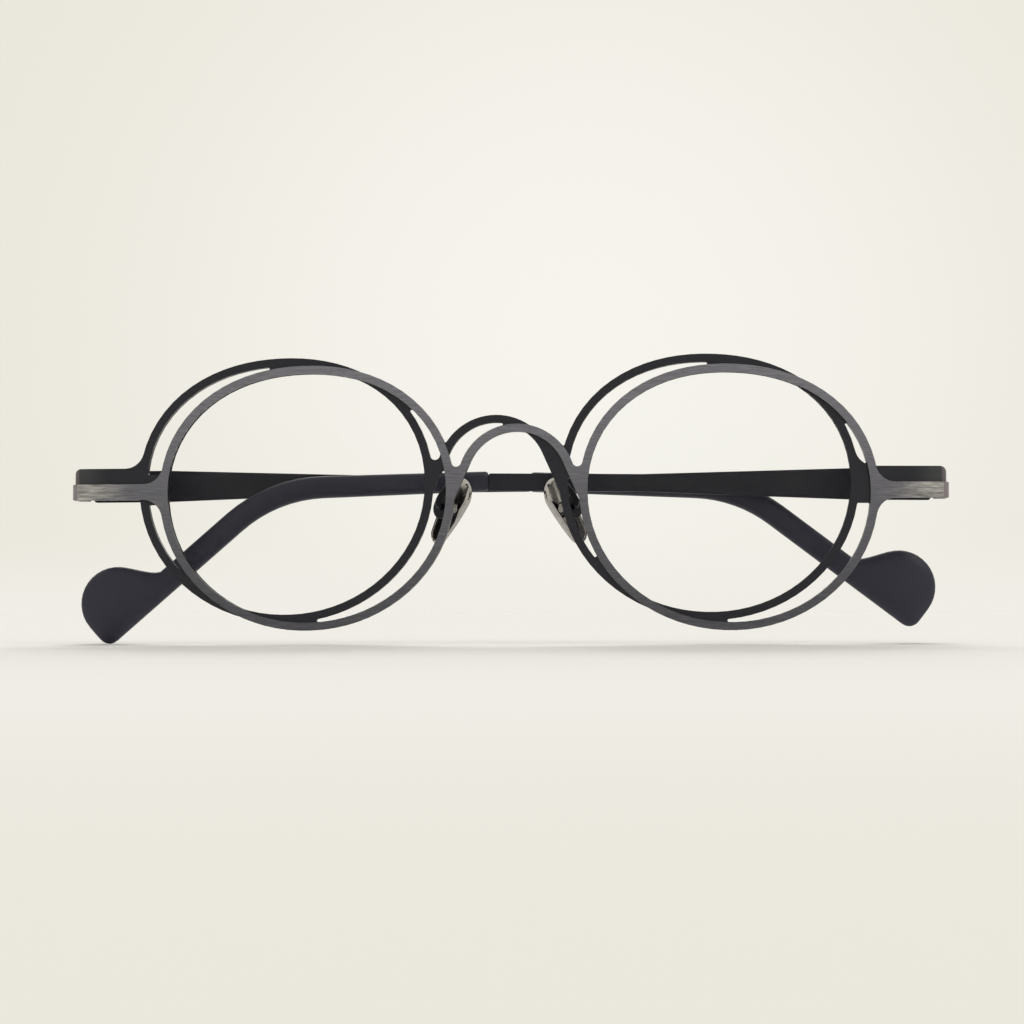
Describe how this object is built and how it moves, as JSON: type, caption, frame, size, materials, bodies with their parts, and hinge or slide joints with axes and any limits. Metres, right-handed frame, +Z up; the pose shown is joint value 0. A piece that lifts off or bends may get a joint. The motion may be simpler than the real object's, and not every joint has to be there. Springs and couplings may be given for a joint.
{
  "type": "round eyeglasses",
  "caption": "Round metal eyeglasses with a doubled ring front, crossing bridge arches, rocking nose pads and folding temples, shown folded.",
  "frame": {"origin": "bottom centre of the folded glasses' bounding box", "axes": "+X across the face to the wearer's left, +Y from the front of the rims to the back, +Z up"},
  "size_m": [0.1424, 0.0192, 0.0466],
  "materials": {
    "black_titanium": "matt black coating on titanium sheet",
    "brushed_titanium": "fine horizontal brushing, dark grey",
    "clear_lens": "clear acrylic, polished",
    "screw_steel": "polished small screws",
    "navy_acetate": "matt navy charcoal",
    "polished_titanium": "polished grey titanium"
  },
  "bodies": {
    "front": {"back_frame": "black_titanium", "front_layer": "brushed_titanium", "lens_left": "clear_lens", "lens_right": "clear_lens", "hinge_front_left": "black_titanium", "hinge_front_right": "black_titanium", "hinge_screw_left": "screw_steel", "hinge_screw_right": "screw_steel", "pad_wire_left": "black_titanium", "pad_wire_right": "black_titanium", "pad_box_left": "black_titanium", "pad_box_right": "black_titanium", "pad_screw_left": "screw_steel", "pad_screw_right": "screw_steel"},
    "temple_left": {"hinge_temple_left": "black_titanium", "temple_arm_left": "black_titanium", "temple_tip_left": "navy_acetate"},
    "temple_right": {"hinge_temple_right": "black_titanium", "temple_arm_right": "black_titanium", "temple_tip_right": "navy_acetate"},
    "pad_left": {"nose_pad_left": "polished_titanium"},
    "pad_right": {"nose_pad_right": "polished_titanium"}
  },
  "joints": [
    {"name": "temple_left_hinge", "type": "hinge", "parent": "front", "child": "temple_left", "pos_m": [0.06805, 0.00306, 0.026], "axis": [0, 0, -1], "range_deg": [0, 91.5]},
    {"name": "temple_right_hinge", "type": "hinge", "parent": "front", "child": "temple_right", "pos_m": [-0.06805, 0.00306, 0.026], "axis": [0, 0, 1], "range_deg": [0, 88.8]},
    {"name": "pad_left_rock", "type": "hinge", "parent": "front", "child": "pad_left", "pos_m": [0.00973, -0.00338, 0.02194], "axis": [0.7431, 0.6691, 0], "range_deg": [-8, 8]},
    {"name": "pad_right_rock", "type": "hinge", "parent": "front", "child": "pad_right", "pos_m": [-0.00973, -0.00338, 0.02194], "axis": [-0.7431, 0.6691, 0], "range_deg": [-8, 8]}
  ]
}
